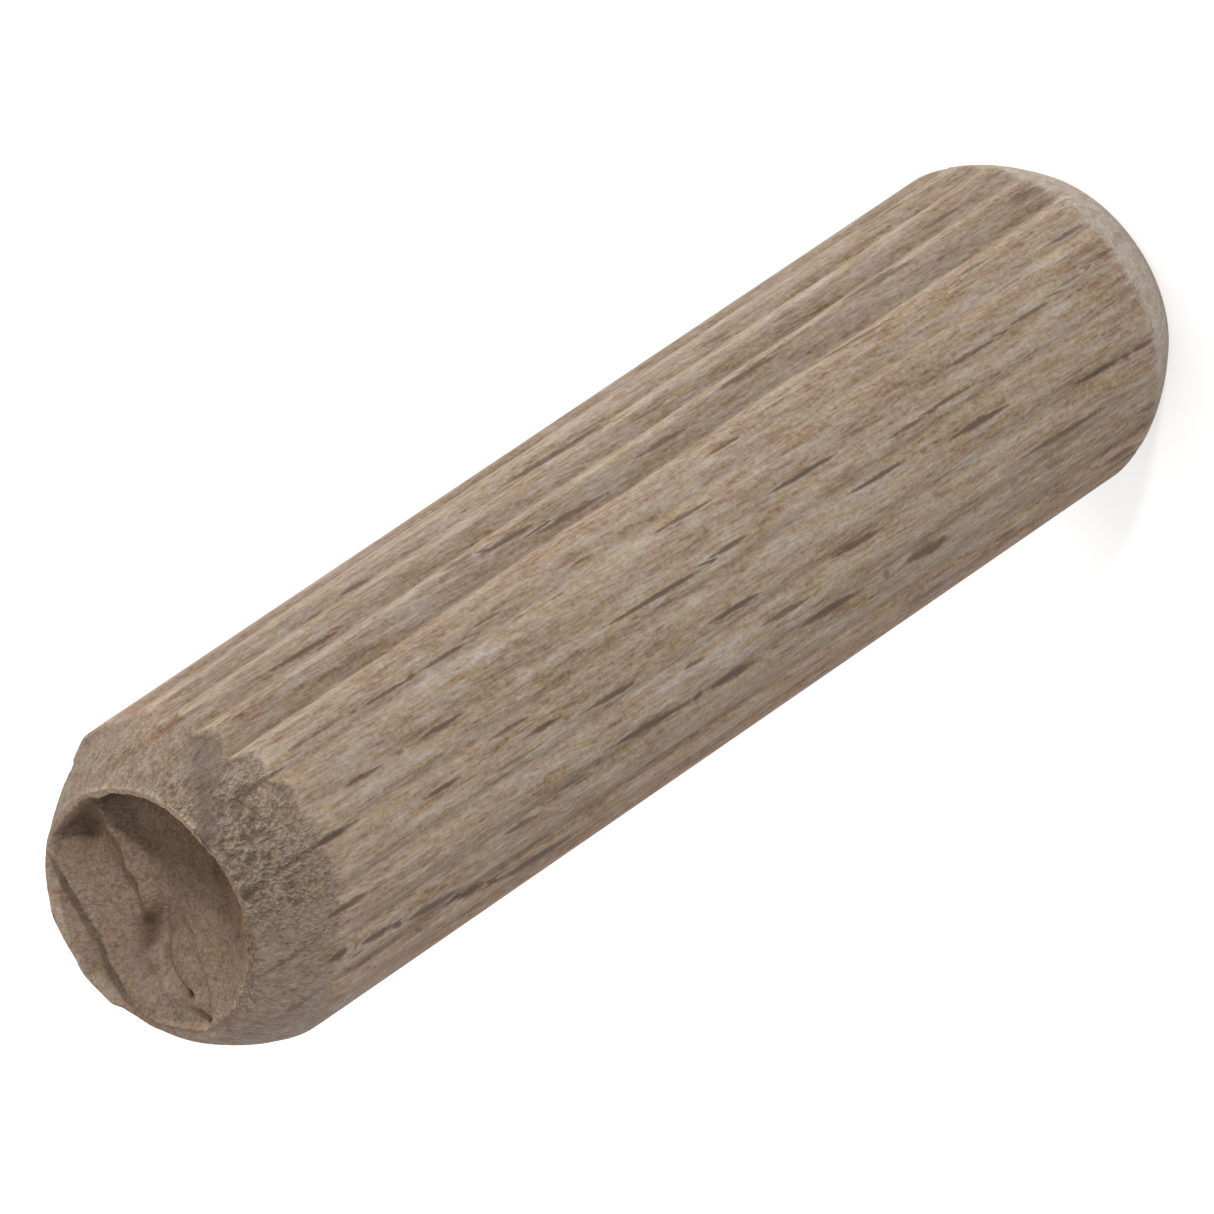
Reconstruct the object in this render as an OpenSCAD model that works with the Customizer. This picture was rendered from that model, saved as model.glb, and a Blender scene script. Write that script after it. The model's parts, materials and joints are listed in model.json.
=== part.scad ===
// Fluted beech dowel pin, standing on its plain end.
// The foot of the axis is the origin and +Z runs up the dowel to its torn end.

/* [Dowel] */
// Diameter over the rib crests, which is the hole that the dowel fits
dowel_d = 10; // [6:0.5:16]
// Length from end to end
dowel_l = 40; // [25:1:80]

/* [Flutes] */
// Number of straight flutes pressed along the dowel
flute_count = 24; // [12:1:30]
// Depth of a flute below the rib crests
flute_depth = 0.25; // [0.1:0.05:0.4]
// Width of the crest on which each rib keeps the dowel's own round
crest_w = 0.6; // [0.3:0.05:0.65]

/* [Tapered ends] */
// Height of the taper at the torn end
torn_taper_h = 2.7; // [1:0.1:4]
// How far the taper at the torn end draws in on the radius
torn_taper_in = 1.25; // [0.6:0.05:1.8]
// Height of the taper at the plain end
plain_taper_h = 2.3; // [1:0.1:4]
// How far the taper at the plain end draws in on the radius
plain_taper_in = 1.15; // [0.6:0.05:1.8]
// How round both tapers are: 1 is a straight cone, and 2 leaves the shaft with no edge
taper_roundness = 1.45; // [1:0.05:2]

/* [Torn hollow] */
// Thickness of the lip that stands around the hollow
lip_w = 0.12; // [0.1:0.02:0.4]
// Distance from the axis to the flat strip of the end that is still whole
whole_strip_y = 2.3; // [0.8:0.1:2.6]
// Depth of the hollow below the end
hollow_depth = 1.1; // [0.4:0.05:2]
// Radius of the hollow's floor, which is nearly flat
hollow_floor_r = 9; // [5:0.5:20]
// Depth of the trough along one torn growth ring, below the end
trough_depth = 1.4; // [0.6:0.05:2.4]
// Radius of the trough's round bottom
trough_r = 2.4; // [1.5:0.1:4]
// Distance of the trough's middle from the axis, away from the whole strip
trough_y = 0.9; // [0:0.1:2]

/* [Hidden] */
$fn = 120;

dowel_r = dowel_d / 2;
torn_end_r = dowel_r - torn_taper_in;

// A taper is a row of short cones. Its radius draws in with a power of the share of the taper's height.
taper_steps = 5;
function taper_point(share, shaft_z, end_z, drop) =
    [dowel_r - drop * share ^ taper_roundness, shaft_z + (end_z - shaft_z) * share];
plain_taper = [for (i = [taper_steps : -1 : 0])
    taper_point(i / taper_steps, plain_taper_h, 0, plain_taper_in)];
torn_taper = [for (i = [0 : taper_steps])
    taper_point(i / taper_steps, dowel_l - torn_taper_h, dowel_l, torn_taper_in)];

// A rib's back is one arc through both edges of its crest and the bottoms of the flutes on each side.
// The arc's centre lies on the rib's middle line, at the one distance that is as far from both points.
half_pitch = 180 / flute_count;
half_crest = crest_w / dowel_d * 180 / PI;
flute_bottom_r = dowel_r - flute_depth;
rib_centre_r = (dowel_r ^ 2 - flute_bottom_r ^ 2)
    / (2 * (dowel_r * cos(half_crest) - flute_bottom_r * cos(half_pitch)));
rib_back_r = sqrt(dowel_r ^ 2 + rib_centre_r ^ 2 - 2 * dowel_r * rib_centre_r * cos(half_crest));

// The floor of the hollow is part of a ball, which meets the end in a circle of this radius
hollow_mouth_r = sqrt(hollow_floor_r ^ 2 - (hollow_floor_r - hollow_depth) ^ 2);

// The round rod with both ends tapered, before the flutes
module tapered_rod() {
    rotate_extrude()
        polygon(concat([[0, 0]], plain_taper, torn_taper, [[0, dowel_l]]));
}

// A column of ribs side by side. Their backs rise just past the rod, so the rod's round cuts the crests.
// The bottom of one flute runs down the front of the dowel, on -Y.
module ribs() {
    linear_extrude(dowel_l)
        union() {
            circle(rib_centre_r);
            for (i = [0 : flute_count - 1])
                rotate((2 * i + 1) * half_pitch - 90)
                    translate([rib_centre_r, 0])
                        circle(rib_back_r);
        }
}

// What the break took out of the end: a shallow bowl and a trough along one growth ring, inside the lip.
// The bowl's ball is turned on its side, which keeps its poles and its seam off the floor.
module torn_hollow() {
    intersection() {
        translate([0, 0, dowel_l - hollow_floor_r])
            cylinder(h = 2 * hollow_floor_r, r = torn_end_r - lip_w);
        union() {
            translate([0, whole_strip_y - hollow_mouth_r, dowel_l + hollow_floor_r - hollow_depth])
                rotate([0, -90, 0])
                    sphere(hollow_floor_r);
            translate([-dowel_r, -trough_y, dowel_l + trough_r - trough_depth])
                rotate([0, 90, 0])
                    cylinder(h = dowel_d, r = trough_r);
        }
    }
}

module dowel_pin() {
    color("#97826f")
        difference() {
            intersection() {
                tapered_rod();
                ribs();
            }
            torn_hollow();
        }
}

dowel_pin();
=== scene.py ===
import json
import math

import bpy
import numpy as np
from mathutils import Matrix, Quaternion, Vector


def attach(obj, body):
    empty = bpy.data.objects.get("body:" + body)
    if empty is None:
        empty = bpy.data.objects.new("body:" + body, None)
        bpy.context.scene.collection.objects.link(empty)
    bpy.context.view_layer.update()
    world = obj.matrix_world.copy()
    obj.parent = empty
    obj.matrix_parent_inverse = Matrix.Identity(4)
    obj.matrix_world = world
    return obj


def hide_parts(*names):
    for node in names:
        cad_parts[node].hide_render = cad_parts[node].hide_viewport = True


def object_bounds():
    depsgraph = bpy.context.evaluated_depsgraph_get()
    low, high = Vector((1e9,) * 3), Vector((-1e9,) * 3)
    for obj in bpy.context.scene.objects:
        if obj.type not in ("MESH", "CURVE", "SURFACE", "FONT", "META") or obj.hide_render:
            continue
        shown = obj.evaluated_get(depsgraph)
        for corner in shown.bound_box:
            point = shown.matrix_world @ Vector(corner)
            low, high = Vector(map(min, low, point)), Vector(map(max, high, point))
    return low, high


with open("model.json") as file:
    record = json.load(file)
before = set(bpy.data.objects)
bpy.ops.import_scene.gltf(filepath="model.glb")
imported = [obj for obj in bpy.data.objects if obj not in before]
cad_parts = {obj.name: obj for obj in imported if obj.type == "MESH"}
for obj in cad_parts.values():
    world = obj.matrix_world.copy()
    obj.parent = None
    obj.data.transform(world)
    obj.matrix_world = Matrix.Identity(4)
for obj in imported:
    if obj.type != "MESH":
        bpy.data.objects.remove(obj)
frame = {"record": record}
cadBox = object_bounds()
print("frame loaded, CAD box", [[round(v, 5) for v in corner] for corner in cadBox])

# Lengths in the dictionaries are in millimetres and angles in degrees. Their turns are counted from -Y
# towards +X, and their half widths are where a bell has fallen to 1 / e.
metresPerMm = 0.001
dowelRadius = frame["record"]["mounts"][0]["dims"]["r_mm"]
dowelLength = (cadBox[1][2] - cadBox[0][2]) / metresPerMm

cameraSet = {
    "place": {
        "middle": (-0.05, -0.01, 20.39),
        "azimuth": -90.0,    # in front, on -Y
        "elevation": 41.0,
        "distance": 601.0,
        "roll": 124.2,       # clockwise as seen from behind the camera
    },
    "lens": 649.7,
    "sensor": 36.0,
    "nearest": 10.0,
    "farthest": 20000.0,
}


def newObject(name, data):
    item = bpy.data.objects.new(name, data)
    bpy.context.scene.collection.objects.link(item)
    return item


def placeAround(item, middle, azimuth, elevation, distance, roll=0):
    # Puts the item on a ball around the middle, at an azimuth from +X towards +Y, turned to it and rolled
    azimuth, elevation = math.radians(azimuth), math.radians(elevation)
    outward = Vector((
        math.cos(azimuth) * math.cos(elevation),
        math.sin(azimuth) * math.cos(elevation),
        math.sin(elevation),
    ))
    item.location = Vector(middle) * metresPerMm + outward * distance * metresPerMm
    item.rotation_mode = "QUATERNION"
    aim = (-outward).to_track_quat("-Z", "Y")
    item.rotation_quaternion = aim @ Quaternion((0, 0, 1), -math.radians(roll))


def makeCamera(settings):
    data = bpy.data.cameras.new("camera")
    data.lens = settings["lens"]
    data.sensor_width = settings["sensor"]
    data.clip_start = settings["nearest"] * metresPerMm
    data.clip_end = settings["farthest"] * metresPerMm
    camera = newObject("camera", data)
    placeAround(camera, **settings["place"])
    bpy.context.scene.camera = camera


makeCamera(cameraSet)
print("camera placed")


def latticeNoise(x, y, z, seed):
    # Smooth noise from -1 to 1: seeded values on whole-number points, repeating every 64 of them, blended
    # between the eight corners around a place with the weight 3 t squared minus 2 t cubed
    size = 64
    values = np.random.default_rng(seed).uniform(-1, 1, (size, size, size))
    place = np.stack(np.broadcast_arrays(x, y, z), -1).astype(float)
    corner = np.floor(place).astype(int)
    weight = place - corner
    weight = weight * weight * (3 - 2 * weight)
    total = np.zeros(place.shape[:-1])
    for step in np.ndindex(2, 2, 2):
        cell = (corner + step) % size
        share = np.prod(np.where(step, weight, 1 - weight), -1)
        total += share * values[cell[..., 0], cell[..., 1], cell[..., 2]]
    return total


def sheetNoise(across, along, markSize, seed):
    # Noise over a sheet, with marks of this size across and along it
    return latticeNoise(across / markSize[0], along / markSize[1], 0, seed)


def rimNoise(turn, perRadian, seed):
    # Noise around the rim, with so many marks in a radian
    return latticeNoise(turn * perRadian, 0, 0, seed)


def rise(value, low, high):
    # 0 below low, 1 above high, and 3 t squared minus 2 t cubed between them
    t = np.clip((value - low) / (high - low), 0, 1)
    return t * t * (3 - 2 * t)


def fall(value, low, high):
    return 1 - rise(value, low, high)


def between(value, start, stop):
    # Rises from 0 to 1 from one end of start to the other, and falls back to 0 over stop
    return rise(value, *start) * fall(value, *stop)


def bell(value, middle, half, top=1):
    # The top at the middle, times e to the power of minus the square of distance over half elsewhere
    return top * np.exp(-((value - middle) / half) ** 2)


def blend(first, second, share):
    return first + (second - first) * share


def lineAcross(x, line):
    # Height y of a line that runs from point to point along X
    places = np.array(line)
    return np.interp(x, places[:, 0], places[:, 1])


def frontDegrees(turn):
    # Degrees from -Y towards +X, from -180 to 180, of a turn in radians from +X towards +Y
    return (np.degrees(turn) + 270) % 360 - 180


shaftForm = {
    "fluteCount": 24,
    "crestWidth": 0.28,
    "fluteDepth": 0.24,
    "fluteDepthSpread": 0.03,
    "fluteDepthSeed": 4,
    "fluteWaver": 0.7,           # degrees to each side along the dowel
    "fluteDepthWaver": 0.2,      # as a share of the depth
    # Flutes are numbered from the one on -Y towards +X, and a rib lies half-way between two numbers
    "oddDepths": {6: 0.02, 5: 0.2, 4: 0.28, 3: 0.26, 2: 0.3, 1: 0.15, 0: 0.12,
                  -1: 0.13, -2: 0.17, -3: 0.16, -4: 0.18, -5: 0.17, -6: 0.02},
    "leans": {5: 2.0, 3.5: 1.0, 3: -0.5, 2.5: 2.5, 2: -0.5, 1: -1.5, 0: -1.0,
              -1: 5.5, -2: 1.0, -3: -0.5, -4: -0.5},
    # Dirt and painted shade that a flute holds: degrees below and above its bottom, and how dark
    "oddDirtAndShade": {5: (1.5, 7, 0.9), 4: (0.8, 8, 0.6), 3: (1.5, 8, 0.9), 2: (1.0, 11, 0.9),
                1: (2, 2, 0.1), 0: (2, 2, 0.1), -1: (2, 4, 0.3), -2: (2, 2, 0.1),
                -3: (8, 2, 0.4), -4: (2, 3, 0.1)},
    "otherDirtAndShade": (2, 5, 0.4),
    "plainTaperHeight": 2.3,
    "plainTaperIn": 1.15,
    "tornTaperHeight": 2.7,
    "tornTaperIn": 1.25,
    "taperRoundness": 1.45,
    # Around this turn the torn taper starts nearer to the end, with a small step. The bell is cut off at 1.
    "whole": (90, 12, 1.6),
    "wholeStep": (1.75, 2.15),
    "boxGap": 0.001,             # from the side to the solid's box
    "columnsPerFlute": 19,
    "plainEndRows": 6,
    "plainTaperRows": 14,
    "shaftRows": 72,
    "tornTaperRows": 48,
}


def perFlute(ordinary, odd):
    # One value or row of values for each flute: the ordinary ones, with those of the few which differ
    values = np.array(ordinary, float)
    values[list(odd)] = list(odd.values())
    return values


def fluteLines(turn, form):
    # For each turn the nearest flute's number, the degrees from its bottom, and the share of the way down
    # into it: 0 on a rib's crest, and then growing with the square of the distance from the rib's middle.
    # The leans move single flutes and ribs to the side, and fade out half a pitch away.
    count = form["fluteCount"]
    pitch = 360 / count
    halfSteps = np.arange(2 * count) / 2
    leans = {int(2 * number): lean for number, lean in form["leans"].items()}
    leans = perFlute(np.zeros(2 * count), leans)
    place = (np.degrees(turn) + 90) / pitch
    place = place - np.interp(place, halfSteps, leans, period=count) / pitch
    fromRib = np.abs(place % 1 - 0.5) * 2
    crest = math.degrees(form["crestWidth"] / dowelRadius) / pitch
    share = np.clip((fromRib ** 2 - crest ** 2) / (1 - crest ** 2), 0, 1)
    nearest = np.round(place).astype(int)
    return nearest % count, (place - nearest) * pitch, share


def fluteForm(turn, height, form):
    # How far the flutes are cut into the side, and the dirt and painted shade they hold. The flutes waver
    # and vary in depth.
    count = form["fluteCount"]
    around = turn * 8
    waver = 0.7 * latticeNoise(around, height / 4, 0, 31) + 0.3 * latticeNoise(around, height / 1.2, 0, 32)
    flute, fromBottom, share = fluteLines(turn + math.radians(form["fluteWaver"]) * waver, form)
    spread = np.random.default_rng(form["fluteDepthSeed"]).uniform(-1, 1, count)
    depths = perFlute(form["fluteDepth"] + form["fluteDepthSpread"] * spread, form["oddDepths"])
    depthWaver = 1 + form["fluteDepthWaver"] * latticeNoise(around, height / 3, 0, 33)
    dirtsAndShades = perFlute([form["otherDirtAndShade"]] * count, form["oddDirtAndShade"])
    below, above, dark = np.moveaxis(dirtsAndShades[flute], -1, 0)
    dirt = rise(below + fromBottom, 0, 0.5 * below) * rise(above - fromBottom, 0, 0.4 * above)
    return depths[flute] * share * depthWaver, dark * dirt


def rodRadius(height, front, form):
    # Radius of the round rod before it was fluted. Each taper draws in with a power of the way to its end
    # that is a little over 1, which makes it slightly round.
    rod = dowelRadius
    for taper, fromEnd in (("plainTaper", height), ("tornTaper", dowelLength - height)):
        share = np.clip(1 - fromEnd / form[taper + "Height"], 0, 1)
        rod = rod - form[taper + "In"] * share ** form["taperRoundness"]
    whole = bell(front, *form["whole"]) * rise(dowelLength - height, *form["wholeStep"])
    return rod + np.minimum(whole, 1) * (dowelRadius - rod) * (height > dowelLength / 2)


hollowForm = {
    "lipWidth": 0.12,
    # How much wider the lip is in places, and the turn, half width and share by which it is less so
    "lipWaver": 0.06,
    "lipNarrower": (45, 20, 0.7),
    # How far the rim is broken in, around which turn, and the share of that elsewhere
    "rimWaver": 0.07,
    "rimWaverTurn": (-5, 32),
    "rimWaverElsewhere": 0.1,
    # How much lower the rim is over these turns, around a corner and, unevenly, all round
    "rimDrop": 0.14,
    "rimDropTurns": ((-159, -153), (-60, -35)),
    "cornerDrop": (45, 18, 0.12),
    "rimUneven": 0.04,
    # Over these turns the floor rises to the rim over the open width, with no lip. Elsewhere it has a wall.
    "openRim": ((-102, -94), (-30, -22)),
    "openRimWidth": 1.2,
    "wallWidth": 0.2,
    # Ridges across the hollow from -X to +X, where growth rings parted: x and y of each point
    "outerRidge": ((-3.6, 2.75), (-1.5, 2.77), (-0.84, 2.67), (-0.36, 2.57), (0.32, 2.33), (1.04, 2.26),
                   (1.6, 2.27), (2.3, 2.15), (3.6, 1.9)),
    "innerRidge": ((-3.6, 0.55), (-3.2, 0.83), (-2.86, 1.0), (-2.6, 1.2), (-2.2, 1.6), (-1.8, 1.8),
                   (-1.34, 1.85), (-0.8, 1.67), (-0.35, 1.28), (0, 1.0), (0.4, 0.67), (0.8, 0.52),
                   (1.2, 0.4), (1.75, 0.28), (3.6, 0.1)),
    "ridgeWaver": 0.05,
    # Depth at the outer ridge, then x with the depth at the inner ridge, with that of the floor past it and
    # with the width of the drop to it
    "outerDepth": 0.04,
    "innerDepth": ((-3.6, 0.45), (-2.8, 0.5), (-2.4, 0.45), (-1.5, 0.48), (-0.5, 0.75), (0.3, 0.9),
                   (3.6, 0.95)),
    "floorDepth": ((-3.6, 0.1), (-2.8, 0.24), (-2.4, 0.45), (-1.5, 0.75), (-0.5, 1.1), (0.5, 1.3),
                   (3.6, 1.4)),
    "dropWidth": ((-3.6, 0.2), (-2.6, 0.18), (-2.3, 0.45), (-0.9, 0.6), (-0.4, 0.4), (3.6, 0.35)),
    # The slope between the ridges is straight for a bend of 1, and steeper near the outer ridge for more
    "slopeLeast": 0.3,
    "slopeBend": 1.8,
    "crest": (0.28, 0.28),       # half width and height
    "crestStart": (-0.4, 0.2),
    # A narrow cleft at the foot of the smooth drop: half width and depth, and its stretch of X
    "foot": (0.06, 0.1),
    "footReach": ((-2.5, -2.2), (-1.0, -0.7)),
    "trough": (-0.9, 1.1, 0.15),     # y, half width and depth
    "layerRelief": 0.08,
    # The strip behind the outer ridge falls and rises again, less where it is narrower than its full width
    "stripDrop": 0.42,
    "stripReach": ((0, 0.12), (0.35, 1.15)),
    "stripFullWidth": 0.9,
    "stripLeast": 0.4,
    "stripToRim": 0.25,
    # Pits in the floor: x, y, half width and depth
    "pits": ((-0.3, 1.4, 0.34, 0.2), (-2.42, 1.07, 0.14, 0.3), (3.05, 1.15, 0.5, 0.35)),
    "lipRows": 3,
    "wallRows": 8,
    "floorRows": 56,
}
tornRadius = dowelRadius - shaftForm["tornTaperIn"]
holeRadius = tornRadius - hollowForm["lipWidth"]


def hollowDepth(x, y, form):
    # Depth of the torn hollow below the end. A slope runs down from the outer ridge to the inner one, where
    # the floor drops to the deep part with its trough. The inner ridge is a raised crest on the +X half and
    # a smooth drop on the other. Behind the outer ridge a strip drops and rises to the rim.
    waver = form["ridgeWaver"] * latticeNoise(x / 0.5, 0, 0, 24)
    outer = lineAcross(x, form["outerRidge"]) + waver
    inner = lineAcross(x, form["innerRidge"]) - waver
    innerDepth = lineAcross(x, form["innerDepth"])
    dropWidth = lineAcross(x, form["dropWidth"])
    slope = np.clip((outer - y) / np.maximum(outer - inner, form["slopeLeast"]), 0, 1)
    depth = blend(form["outerDepth"], innerDepth, 1 - (1 - slope) ** form["slopeBend"])
    depth -= rise(x, *form["crestStart"]) * bell(y, inner, *form["crest"])
    depth += between(x, *form["footReach"]) * bell(y, inner - dropWidth, *form["foot"])
    drop = np.clip((inner - y) / dropWidth, 0, 1)
    depth += drop * (lineAcross(x, form["floorDepth"]) + bell(y, *form["trough"]) - innerDepth)
    layers = sheetNoise(x, y, (1.1, 0.4), 26) + sheetNoise(x, y, (0.5, 0.5), 27)
    depth += form["layerRelief"] * layers * slope
    stripWidth = np.sqrt(np.maximum(tornRadius ** 2 - x ** 2, 0)) - outer
    dip = between(y - outer, *form["stripReach"])
    dip = dip * np.clip(stripWidth / form["stripFullWidth"], form["stripLeast"], 1)
    depth += form["stripDrop"] * dip * rise(tornRadius - np.hypot(x, y), 0, form["stripToRim"])
    for pitX, pitY, pitRadius, pitDepth in form["pits"]:
        depth += bell(np.hypot(x - pitX, y - pitY), 0, pitRadius, pitDepth)
    return depth


hollowTone = {
    # The floor is split smoothly up to here along X
    "smoothStop": (-1.0, -0.2),
    # Lines as x and y of each point: a cleft at the foot of the slope, painted dark as shade, and a pale
    # sliver
    "cleft": ((-0.75, 1.6), (-0.4, 1.45), (-0.15, 1.25), (0.2, 0.92)),
    "sliver": ((-3, 1.55), (3, 1.55)),
    "level": ((-3, 0), (3, 0)),
    # Bands: name of the line, how far above it, half width, how strong, and its start and stop along X
    "shadeBands": (
        ("inner", 0.1, 0.13, 0.6, (-6, -5), (-2.6, -2.3)),
        ("foot", 0, 0.12, 0.7, (-2.5, -2.3), (-1.0, -0.7)),
        ("sliver", 0, 0.2, 0.2, (-2.4, -2.0), (-1.0, -0.8)),
        ("cleft", 0, 0.36, 1.3, (-0.85, -0.6), (0.05, 0.3)),
    ),
    # Painted shade along the cleft, in the pit colour
    "pitShadeBands": (("cleft", 0, 0.3, 1, (-0.85, -0.6), (0.05, 0.3)),),
    "paleBands": (
        ("level", 0, 0.7, 1, (-6, -5), (-3.3, -3.05)),
        # A painted highlight on the deep side of the inner ridge's crest
        ("inner", -0.15, 0.12, 0.45, (0, 0.3), (1.9, 2.3)),
        ("sliver", 0, 0.14, 0.3, (-2.4, -2.0), (-1.05, -0.85)),
    ),
    # Spots: x and y of the middle, half widths along X and Y, and how strong
    "shadeSpots": ((2.9, 1.25, 0.65, 0.3, 1.15),),
    # Painted shade in the pocket by the +X rim and in the small pit's opening, in the pit colour
    "pitShadeSpots": ((2.95, 1.27, 0.55, 0.27, 0.45), (-2.42, 1.07, 0.147, 0.147, 1)),
    "paleSpots": ((1.05, 1.02, 0.4, 0.1, 0.6),),
    # Shade at the foot of the strip, on its -X and its +X half
    "stripShade": (0.5, 0.7),
    "stripShadeChange": (-0.6, 0),
    "stripShadeReach": ((0, 0.1), (0.4, 0.9)),
    # Shade in the groove behind the crest, with the shares by which it is less past two stretches of X
    "grooveShade": 1.15,
    "grooveStart": (-0.1, 0.25),
    "grooveTop": (0.8, 1.2),
    "grooveFades": ((0.35, (0.5, 1.1)), (0.5, (2.0, 2.4))),
    # Shade on the deep floor: past the ridge, towards -Y, and near its -X end
    "deepShade": 0.3,
    "nearShade": 1.2,
    "sideShade": (-2.4, 0.5, 0.45),
    # A dark crescent on the deep floor starts over these distances from a place in this direction
    "crescentShade": 0.95,
    "crescentPlace": (0.9, 0.3),
    "crescentDirection": (0.571, -0.821),
    "crescentStart": (0.3, 0.85),
    "crescentWaver": 0.08,
    "mostShade": 1.15,
    "upperPale": 0.5,
    "openRadius": (3.1, 3.4),    # past this the open rim is paler, and shows hardly any end grain
}


def stripesOf(across, along, stripes):
    # Each stripe is a bell across it, between its start and its stop
    return [bell(across, middle, half, strong) * between(along, start, stop)
            for middle, half, strong, start, stop in stripes]


def bandsOf(x, y, lines, bands):
    return stripesOf(y, x, [(lines[name] + above, *rest) for name, above, *rest in bands])


def spotsOf(x, y, spots):
    return [bell(x, midX, halfX) * bell(y, midY, halfY, strong)
            for midX, midY, halfX, halfY, strong in spots]


def hollowMarks(x, y, form, tone):
    # How much of each there is: 0 to 1, though the pale places can add up to more
    lines = {name: lineAcross(x, tone[name]) for name in ("cleft", "sliver", "level")}
    outer = lineAcross(x, form["outerRidge"])
    inner = lines["inner"] = lineAcross(x, form["innerRidge"])
    foot = lines["foot"] = inner - lineAcross(x, form["dropWidth"])
    behind = rise(y - outer, -0.08, 0.08)
    smooth = fall(x, *tone["smoothStop"]) * rise(y - foot, -0.06, 0.06)
    drop = fall(y - inner, -0.06, 0.06) * smooth * rise(x, -2.5, -2.3)

    shade = blend(*tone["stripShade"], rise(x, *tone["stripShadeChange"]))
    shade = shade * between(y - outer, *tone["stripShadeReach"])
    groove = rise(x, *tone["grooveStart"]) * fall(y, *tone["grooveTop"])
    groove = groove * rise(y - inner, -0.02, 0.08)
    for share, reach in tone["grooveFades"]:
        groove = groove * (1 - share * rise(x, *reach))
    shade += tone["grooveShade"] * groove
    shade += sum(bandsOf(x, y, lines, tone["shadeBands"]) + spotsOf(x, y, tone["shadeSpots"]))
    (placeX, placeY), (alongX, alongY) = tone["crescentPlace"], tone["crescentDirection"]
    away = alongX * (x - placeX) + alongY * (y - placeY)
    away = away + tone["crescentWaver"] * sheetNoise(x, y, (0.35, 0.35), 28)
    crescent = rise(away, *tone["crescentStart"]) * rise(inner - y, -0.05, 0.3)
    crescent *= (1 - 0.5 * rise(x, 1.4, 2.2)) * (1 - 0.8 * rise(x, 1.7, 2.2) * rise(y, -0.7, -0.3))
    near = tone["nearShade"] * rise(-y, 0.6, 2.0) * rise(x, -3, -0.5)
    shade += np.maximum(near, tone["crescentShade"] * crescent)
    shade += tone["deepShade"] * rise(inner - y, 0.3, 0.8) * fall(x, 0.8, 1.2)
    shade += bell(x, *tone["sideShade"]) * rise(-y, 0, 0.5)
    pit = np.max(bandsOf(x, y, lines, tone["pitShadeBands"]) + spotsOf(x, y, tone["pitShadeSpots"]), 0)

    openRim = rise(np.hypot(x, y), *tone["openRadius"]) * fall(x, -2.0, -1.0) * fall(y, -0.9, -0.3)
    pale = tone["upperPale"] * rise(y, 1.9, 2.4) * rise(x, -0.5, 0.3) + openRim
    pale = pale + sum(bandsOf(x, y, lines, tone["paleBands"]) + spotsOf(x, y, tone["paleSpots"]))
    return {
        "behind": behind,
        "smooth": np.maximum(smooth, behind),
        "drop": drop,
        "open": openRim,
        "shade": np.minimum(shade / tone["mostShade"], 1),
        "pit": pit,
        "pale": pale,
    }


def openShare(turn, form):
    # 1 where the rim is open, 0 where it has a wall and a lip
    return between(frontDegrees(turn), *form["openRim"])


tornGrain = {
    # A taper tears where it cuts deeper than this, give or take the waver. The border follows the depth of
    # the flutes by a share, which changes over these turns.
    "borderCut": 0.055,
    "borderWaver": 0.025,
    "borderBlur": 0.02,
    "borderFollow": (0.2, 0.8),
    "borderFollowChange": (5, 20),
    "borderLate": (-52, 12, 0.15),   # turn, half width, and how much deeper it has to cut there
    # The step down at the border, which grows from nothing over these turns
    "stepDepth": 0.05,
    "stepChange": (-60, -30),
    # The tearing is roughest in front, and fades to the least past these turns and distances from the end
    "roughStart": (-45, -15),
    "roughStop": (25, 50),
    "roughBelow": (1.4, 2.2),
    "leastRough": 0.15,
    # Pits and cracks grow fewer over these distances from the end
    "tuftDepth": 0.06,
    "pitDepth": 0.07,
    "pitsBelow": (1.2, 1.9),
    "crackDepth": 0.1,
    "cracksBelow": (0.9, 1.6),
    "crackTurn": (10, 20),
    # A smooth valley on the torn taper, painted darker as shade: how far below the end and at which turn
    # its points lie
    "valley": ((0, 10), (0.45, 18), (0.95, 29), (1.45, 35), (2.0, 38)),
    "valleyReach": ((0.02, 0.1), (2.0, 2.3)),
    "valleyHalf": 8,
    "valleyDepth": 0.16,
    "floorTuftDepth": 0.035,
}


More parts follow.
